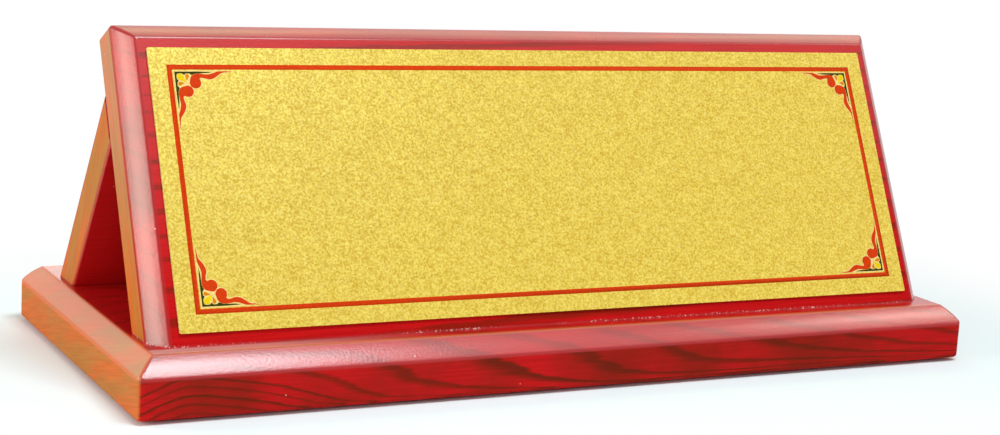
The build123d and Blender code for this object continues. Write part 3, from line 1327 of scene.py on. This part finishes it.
@dataclass
class PrintedPlate:
    """The gold sheet and what is printed on it: a border line and a scroll in each corner.

    The ornament is drawn in millimetres from the border's inner corner, with one axis along either
    border, and its two halves mirror each other about the diagonal.

    Attributes:
        up_slope: Direction up the sheet.
        thickness: Thickness of the sheet.
        border_inset: From the sheet's edge to the border line.
        border_width: Width of the border line.
        ink_thickness: Thickness of a layer of ink.
        scroll_eye: Centre of a scroll's round end.
        scroll_eye_radius: Radius of a scroll's round end.
        keyline: Width of the pale line round the ornament.
        ground_edge: From either border to the edge of the pale ground.
    """

    nodes: dict[str, Object]
    effects: Effects
    up_slope: Vector
    thickness: float = 0.6 * MM
    border_inset: float = 4.58 * MM
    border_width: float = 1.27 * MM
    ink_thickness: float = 0.03 * MM
    scroll_eye: Point = (5.78, 3.56)
    scroll_eye_radius: float = 1.5
    keyline: float = 0.24
    ground_edge: float = 0.25
    gold: GoldSheet = GoldSheet()

    def __post_init__(self) -> None:
        """Reads the sheet's size and place off the frame."""
        low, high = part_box("face_plate")
        self.length = high.x - low.x
        self.height = (high.z - low.z - self.thickness * self.up_slope.y) / self.up_slope.z
        along = Vector((1, 0, 0))
        lower_edge = Vector((0, low.y, high.z - self.height * self.up_slope.z))
        turn = Matrix((along, self.up_slope, along.cross(self.up_slope))).transposed()
        self.place = Matrix.Translation(lower_edge + self.up_slope * self.height / 2) @ turn.to_4x4()
        self.inks = {ink: ink.material(self.effects) for ink in Ink}

    def build(self) -> list[Object]:
        """Dresses the sheet and prints on it.

        Returns:
            The printed pieces.
        """
        set_finish(self.nodes["face_plate"], self.gold.material(self.length / 2, self.effects))
        pieces = [self.border()]
        corner_tree = self.corner_tree()
        margin = self.border_inset + self.border_width
        reaches = {"Reach Along": self.length / 2 - margin, "Reach Up": self.height / 2 - margin}
        layers = {
            "corner_ground": (Ink.CREAM, self.ground(), 1),
            "corner_leaves": (Ink.GREEN, self.leaves(), 2),
            "corner_scrolls": (Ink.RED, self.scrolls(), 2),
            "corner_buds": (Ink.YELLOW, self.buds(), 2),
            "corner_petals": (Ink.ORANGE, self.petals(), 2),
        }
        for name, (ink, outlines, layer) in layers.items():
            motif = extrude_outlines(name, outlines, layer * self.ink_thickness)
            pieces.append(self.lay(name, corner_tree, reaches, ink, motif))
        return pieces

    def lay(self, name: str, tree: NodeTree, lengths: dict[str, float], ink: Ink,
            motif: Mesh | None = None) -> Object:
        """Prints a piece on the sheet's face.

        Args:
            name: Name of the piece.
            tree: Tree that draws it about the sheet's middle, with Z out of the face.
            lengths: What each length among the tree's inputs takes.
            ink: The ink that it is printed in.
            motif: Mesh that the tree starts from, if it takes one.

        Returns:
            The piece, in its place.
        """
        piece = bake_tree(name, tree, lengths | {"Ink": self.inks[ink]}, motif)
        piece.data.transform(self.place)
        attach(piece, BODY)
        return piece

    def border(self) -> Object:
        """Prints the border line.

        Returns:
            The border's piece.
        """
        inset = self.border_inset + self.border_width / 2
        lengths = {"Length": self.length - 2 * inset, "Height": self.height - 2 * inset,
                   "Line Width": self.border_width, "Thickness": 2 * self.ink_thickness}
        inputs = dict.fromkeys(lengths, float) | {"Ink": Material}
        net, entry = start_tree("border_line", inputs, {"Mesh": Mesh})
        mitred = net.times(entry["Line Width"], math.sqrt(2))
        sizes = ({"Width": entry["Length"], "Height": entry["Height"]},
                 {"Width": mitred, "Height": entry["Thickness"]})
        path, section = (net.add("GeometryNodeCurvePrimitiveQuadrilateral", size)[0] for size in sizes)
        line = net.add("GeometryNodeCurveToMesh", {"Curve": path, "Profile Curve": section})[0]
        tree = net.leave_mesh(line, entry["Ink"], net.times(entry["Thickness"], 0.5))
        return self.lay("printed_border", tree, lengths, Ink.RED)

    def corner_tree(self) -> NodeTree:
        """Builds the tree that repeats a corner's motif in all four corners.

        Returns:
            The tree, whose motif runs inwards from the corner at the origin.
        """
        inputs = {"Motif": Mesh, "Reach Along": float, "Reach Up": float, "Ink": Material}
        net, entry = start_tree("four_corners", inputs, {"Mesh": Mesh})
        corner = net.join(X=entry["Reach Along"], Y=entry["Reach Up"])
        half_turn = (0.0, 0.0, math.pi)
        feeds = {"Geometry": entry["Motif"], "Translation": corner, "Rotation": half_turn}
        shape = net.add("GeometryNodeTransform", feeds)[0]
        for flip in ((-1.0, 1.0, 1.0), (1.0, -1.0, 1.0)):
            flipped = net.add("GeometryNodeTransform", {"Geometry": shape, "Scale": flip})[0]
            outward = net.add("GeometryNodeFlipFaces", {"Mesh": flipped})[0]
            both = net.add("GeometryNodeJoinGeometry", {0: shape})[0]
            net.plug(both.node.inputs[0], outward)
            shape = both
        return net.leave_mesh(shape, entry["Ink"])

    def scrolls(self) -> list[Outline]:
        """Draws the comma-shaped scrolls.

        Returns:
            Two outlines.
        """
        comma = Outline().arc(self.scroll_eye, self.scroll_eye_radius, from_deg=-38, to_deg=180, steps=24)
        comma.curve((4.75, 1.95), (5.7, 1.25), (7.0, 1.12), (8.9, 1.32), (10.1, 1.16), (11.9, 0.52))
        comma.curve((13.4, 0.47), (15.9, 0.5))
        comma.curve((14.2, 0.72), (12.95, 0.92), (11.9, 1.62), (10.9, 2.28), (9.55, 2.64), (8.3, 2.34),
                    (7.3, 2.2))
        return [comma, comma.mirrored()]

    def ground(self) -> list[Outline]:
        """Draws the cream ground, which shows as a keyline round the whole ornament.

        Returns:
            One outline.
        """
        reach = self.scroll_eye_radius + self.keyline
        to_diagonal = (self.scroll_eye[0] - self.scroll_eye[1]) / math.sqrt(2)
        across_deg = 135
        meet_deg = across_deg - math.degrees(math.acos(to_diagonal / reach))
        half = Outline((self.ground_edge, self.ground_edge), (12.2, 0.28)).curve((16.2, 0.46))
        half.curve((14.2, 0.95), (13.0, 1.2), (12.05, 1.85), (11.0, 2.5), (9.55, 2.9), (8.3, 2.6), (7.5, 2.6))
        half.arc(self.scroll_eye, reach, from_deg=-20, to_deg=meet_deg)
        return [half.doubled()]

    def leaves(self) -> list[Outline]:
        """Draws the green band, scalloped round the petals.

        Returns:
            One outline.
        """
        half = Outline((0.58, 0.58), (7.0, 0.56), (10.6, 0.7), (8.8, 0.98), (6.0, 1.08))
        half.curve((4.9, 1.5))
        half.curve((4.45, 1.12), (3.9, 1.06), (3.4, 1.14), (3.05, 1.52))
        half.curve((2.7, 1.16), (2.2, 1.02), (1.6, 1.06), (1.2, 1.2))
        return [half.doubled()]

    def buds(self) -> list[Outline]:
        """Draws the yellow bud on the diagonal."""
        return [self.drop(centre=(1.93, 1.93), radius=0.82, tip=(3.5, 3.5))]

    def petals(self) -> list[Outline]:
        """Draws the orange petals beside the bud."""
        petal = self.drop(centre=(3.8, 1.72), radius=0.5, tip=(3.55, 3.0))
        return [petal, petal.mirrored()]

    @staticmethod
    def drop(centre: Point, radius: float, tip: Point) -> Outline:
        """Draws a drop: a round head whose sides run straight to a tip.

        Args:
            centre: Centre of the head.
            radius: Radius of the head.
            tip: The point of the drop.

        Returns:
            Its outline.
        """
        aim = Vector(tip) - Vector(centre)
        heading = math.degrees(math.atan2(aim.y, aim.x))
        open_half = math.degrees(math.acos(radius / aim.length))
        head = Outline().arc(centre, radius, heading + open_half, heading + 360 - open_half, steps=20)
        return Outline(*head.points, tip)


@dataclass
class Fastenings:
    """What holds the pieces together: screws, dowels and tape, which stay as the frame has them."""

    nodes: dict[str, Object]
    effects: Effects

    def dress(self) -> None:
        """Gives each kind of fastening its finish."""
        finishes = {"base_screw": ZincSteel(), "apex_dowel": PlainBeech(), "tape_strip": TAPE_FILM}
        for kind, finish in finishes.items():
            material = finish.material(self.effects)
            members = [node for name, node in self.nodes.items() if name.startswith(kind)]
            for node in members:
                set_finish(node, material)
            log.info("dressed %d pieces of %s", len(members), kind)


@dataclass
class FeltFeet:
    """Felt pads under the base board, which stand for the frame's plain discs.

    Attributes:
        rim_round: How far the worn rim draws in at the top and bottom.
        fuzz: Depth of the uneven rim.
        fuzz_scale: How many tufts of the uneven rim lie along a metre.
        seed: Seed of the uneven rim.
        rim_share: Share of the radius past which a point is on the rim.
        flare_power: How sharply the rim draws in.
        sides: Faces round a pad.
        layers: Faces across its thickness.
        rings: Rings of faces on its flats.
    """

    effects: Effects
    rim_round: float = 0.3 * MM
    fuzz: float = 0.25 * MM
    fuzz_scale: float = 900.0
    seed: float = 3.0
    rim_share: float = 0.98
    flare_power: float = 4.0
    sides: int = 72
    layers: int = 8
    rings: int = 5

    def build(self) -> Object:
        """Makes all four pads.

        Returns:
            One piece that holds the pads.
        """
        names = [f"felt_pad_{row}_{side}" for row in ("front", "rear") for side in ("left", "right")]
        low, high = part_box("felt_pad_rear_right")
        middle = (low + high) / 2
        values = {"Width": 2 * middle.x, "Depth": 2 * middle.y, "Radius": (high.x - low.x) / 2,
                  "Thickness": high.z - low.z, "Rim Round": self.rim_round, "Fuzz": self.fuzz,
                  "Seed": self.seed}
        tree = self.tree(dict.fromkeys(values, float) | {"Felt": Material})
        piece = bake_tree("felt_feet", tree, values | {"Felt": PressedFelt().material(self.effects)})
        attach(piece, BODY)
        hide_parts(*names)
        return piece

    def tree(self, inputs: dict[str, type]) -> NodeTree:
        """Builds the tree of one pad, repeated at four places.

        Args:
            inputs: Type of each of the tree's inputs by its name.

        Returns:
            The tree.
        """
        net, entry = start_tree("felt_feet", inputs, {"Mesh": Mesh})
        half_thickness = net.times(entry["Thickness"], 0.5)
        disc = net.add("GeometryNodeMeshCylinder",
                       {"Vertices": self.sides, "Side Segments": self.layers, "Fill Segments": self.rings,
                        "Radius": entry["Radius"], "Depth": entry["Thickness"]})["Mesh"]
        spot = net.add("GeometryNodeInputPosition")[0]
        share = net.math("ABSOLUTE", net.math("DIVIDE", net.split(spot)["Z"], half_thickness))
        flare = net.times(net.math("POWER", share, self.flare_power), entry["Rim Round"])
        grain = net.add("ShaderNodeTexNoise", {"Vector": spot, "W": entry["Seed"], "Scale": self.fuzz_scale},
                        noise_dimensions="4D")["Fac"]
        drawn_in = net.math("DIVIDE", net.line(grain, entry["Fuzz"], flare), entry["Radius"])
        flat = net.vector("MULTIPLY", spot, (1.0, 1.0, 0.0))
        rim = net.times(entry["Radius"], self.rim_share)
        at_rim = net.math("GREATER_THAN", net.vector("LENGTH", flat), rim)
        keep = net.math("SUBTRACT", 1.0, drawn_in)
        scaled = net.add("ShaderNodeVectorMath", {0: flat, "Scale": keep}, operation="SCALE")["Vector"]
        moved = net.vector("ADD", scaled, net.vector("MULTIPLY", spot, (0.0, 0.0, 1.0)))
        feeds = {"Geometry": disc, "Selection": at_rim, "Position": moved}
        worn = net.add("GeometryNodeSetPosition", feeds)[0]
        soft = net.add("GeometryNodeSetShadeSmooth", {"Geometry": worn})[0]
        feeds = {"Size X": entry["Width"], "Size Y": entry["Depth"], "Vertices X": 2, "Vertices Y": 2}
        places = net.add("GeometryNodeMeshGrid", feeds)["Mesh"]
        pads = net.add("GeometryNodeInstanceOnPoints", {"Points": places, "Instance": soft})[0]
        return net.leave_mesh(pads, entry["Felt"], half_thickness)


@dataclass(frozen=True)
class Softbox:
    """A rectangular studio lamp that faces the part.

    Attributes:
        place: Where it hangs.
        width: Its size across.
        height: Its size the other way.
        radiance: How bright its face is, where 1 is a white page.
        tint: Colour of its light.
        mirrored: Whether it shows in glossy surfaces.
    """

    place: Triple
    width: float
    height: float
    radiance: float
    tint: Triple = (1.0, 1.0, 1.0)
    mirrored: bool = True

    def hang(self, name: str, aim: Vector) -> None:
        """Puts the lamp in the scene.

        Args:
            name: Name of the lamp.
            aim: Point that it faces.
        """
        lamp = bpy.data.lights.new(name, "AREA")
        lamp.shape = "RECTANGLE"
        lamp.size, lamp.size_y = self.width, self.height
        lamp.energy = self.radiance * math.pi * self.width * self.height
        lamp.color = self.tint
        holder = put(name, lamp)
        holder.location = self.place
        holder.rotation_euler = (aim - Vector(self.place)).to_track_quat("-Z", "Y").to_euler()
        holder.visible_glossy = self.mirrored


# Tints of the lamps, and the lamps themselves.
WARM: Triple = (1.0, 0.97, 0.83)
AMBER: Triple = (1.0, 0.9, 0.4)
CREAM: Triple = (1.0, 0.96, 0.76)
COOL: Triple = (0.78, 1.0, 1.04)
LAMPS = {
    "key_softbox": Softbox((-0.36, -0.66, 0.28), 0.22, 0.22, 7.5, mirrored=False),
    "overhead_softbox": Softbox((0.05, -0.35, 0.82), 0.42, 0.32, 11.4, COOL),
    "left_softbox": Softbox((-0.76, -0.135, 0.30), 0.3, 0.3, 5.0, WARM),
    "left_rear_softbox": Softbox((-0.72, 0.36, 0.22), 0.3, 0.3, 6.2, WARM),
    "end_softbox": Softbox((-0.3, 0.69, 0.23), 0.3, 0.25, 0.6),
    "right_softbox": Softbox((0.84, -0.29, 0.84), 0.25, 0.25, 6.2, WARM),
    "rear_left_softbox": Softbox((0.15, 0.7, 0.76), 0.32, 0.25, 1.6, AMBER),
    "rear_softbox": Softbox((0.46, 0.65, 0.715), 0.32, 0.25, 0.7, AMBER),
    "rear_right_softbox": Softbox((0.75, 0.58, 0.66), 0.32, 0.25, 0.9, AMBER),
    "low_rear_softbox": Softbox((0.07, 0.81, 0.19), 0.25, 0.2, 1.25, CREAM),
}


@dataclass
class Studio:
    """White room, pale floor, softboxes and the camera.

    Attributes:
        aim_height: Height of the point that the lamps face.
        ambient: How bright the room is as a light.
        floor_colour: Colour of the floor.
        floor_reach: Half the floor's width.
        floor_cells: Faces along either side of the floor.
        shade_reach: Distances from the base between which the floor's shading fades out.
        camera_place: Where the camera stands.
        heading_deg: Camera's turn from +Y towards +X.
        dip_deg: Camera's tilt below level.
        roll_deg: Camera's roll.
        lens_mm: Focal length.
        sensor_mm: Width of the sensor.
        clip_start: From the camera to the nearest thing that it shows.
    """

    aim_height: float = 0.04
    ambient: float = 0.28
    floor_colour: Colour = (0.93, 0.95, 0.97, 1.0)
    floor_reach: float = 4.0
    floor_cells: int = 8
    shade_reach: Range = (0.01, 0.11)
    camera_place: Triple = (-0.26228, -0.49698, 0.13829)
    heading_deg: float = 27.742
    dip_deg: float = 10.336
    roll_deg: float = 3.392
    lens_mm: float = 72.18
    sensor_mm: float = 36.0
    clip_start: float = 0.01

    def build(self) -> None:
        """Sets the camera, the room, the floor and the lamps."""
        bpy.context.scene.view_settings.view_transform = "Standard"
        self.camera()
        self.room()
        self.floor()
        for name, lamp in LAMPS.items():
            lamp.hang(name, Vector((0, 0, self.aim_height)))

    def camera(self) -> None:
        """Stands the camera where the photograph was taken."""
        heading, dip, roll = map(math.radians, (self.heading_deg, self.dip_deg, self.roll_deg))
        ahead = Vector((math.sin(heading), math.cos(heading), 0))
        forward = ahead * math.cos(dip) - Vector((0, 0, math.sin(dip)))
        level = Vector((math.cos(heading), -math.sin(heading), 0))
        down = forward.cross(level)
        right = math.cos(roll) * level - math.sin(roll) * down
        up = -(math.sin(roll) * level + math.cos(roll) * down)
        camera = bpy.data.cameras.new("camera")
        camera.sensor_fit = "HORIZONTAL"
        camera.sensor_width = self.sensor_mm
        camera.lens = self.lens_mm
        camera.clip_start = self.clip_start
        holder = put("camera", camera)
        turn = Matrix((right, up, -forward)).transposed()
        holder.matrix_world = Matrix.Translation(self.camera_place) @ turn.to_4x4()
        bpy.context.scene.camera = holder

    def seen(self, net: Net) -> NodeSocket:
        """Tells the rays that show the background: camera, glossy and transmission rays.

        Args:
            net: Net of the tree that asks.

        Returns:
            A socket that is 1 on those rays.
        """
        ray = net.add("ShaderNodeLightPath")
        shown = net.math("MAXIMUM", ray["Is Camera Ray"], ray["Is Glossy Ray"])
        return net.math("MAXIMUM", shown, ray["Is Transmission Ray"])

    def room(self) -> None:
        """Makes the world a white room that lights softly."""
        world = bpy.data.worlds.new("white_room")
        world.use_nodes = True
        bpy.context.scene.world = world
        net = Net(world.node_tree)
        shader = world.node_tree.nodes["Background"]
        shader.inputs["Color"].default_value = (1.0, 1.0, 1.0, 1.0)
        net.plug(shader.inputs["Strength"], net.span(self.seen(net), self.ambient, 1.0))

    def floor(self) -> None:
        """Lays a pale floor that shows the part's shadow and turns into the white room further out."""
        form = bmesh.new()
        bmesh.ops.create_grid(form, x_segments=self.floor_cells, y_segments=self.floor_cells,
                              size=self.floor_reach)
        floor = put("floor", keep_form("floor", form))

        surface = Surface("pale_floor")
        surface.feed(Base_Color=self.floor_colour, Roughness=0.9, Specular_IOR_Level=0.0)
        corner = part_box("base_board")[1]
        folded = surface.vector("ABSOLUTE", surface.place)
        past = surface.vector("SUBTRACT", folded, (corner.x, corner.y, 0.0))
        outside = surface.vector("LENGTH", surface.vector("MAXIMUM", past, (0.0, 0.0, 0.0)))
        share = surface.times(surface.smooth(outside, *self.shade_reach), self.seen(surface))
        glow = surface.add("ShaderNodeEmission", {"Color": (1.0, 1.0, 1.0, 1.0), "Strength": 1.0})[0]
        both = surface.add("ShaderNodeMixShader", {0: share, 1: surface.shader.outputs[0], 2: glow})[0]
        surface.plug(surface.tree.nodes["Material Output"].inputs["Surface"], both)
        set_finish(floor, surface.material)


def main() -> None:
    """Loads the frame, dresses and completes the part, and sets the studio round it."""
    logging.basicConfig(level=logging.INFO, format="%(name)s: %(message)s")
    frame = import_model()
    nodes = frame["nodes"]
    effects = Effects()

    joinery = Joinery(nodes, effects)
    joinery.dress()
    printed = PrintedPlate(nodes, effects, joinery.up_slope).build()
    Fastenings(nodes, effects).dress()
    feet = FeltFeet(effects).build()
    for piece in (*printed, feet):
        log.info("built %s with %d faces", piece.name, len(piece.data.polygons))
    Studio().build()


if __name__ == "__main__":
    main()
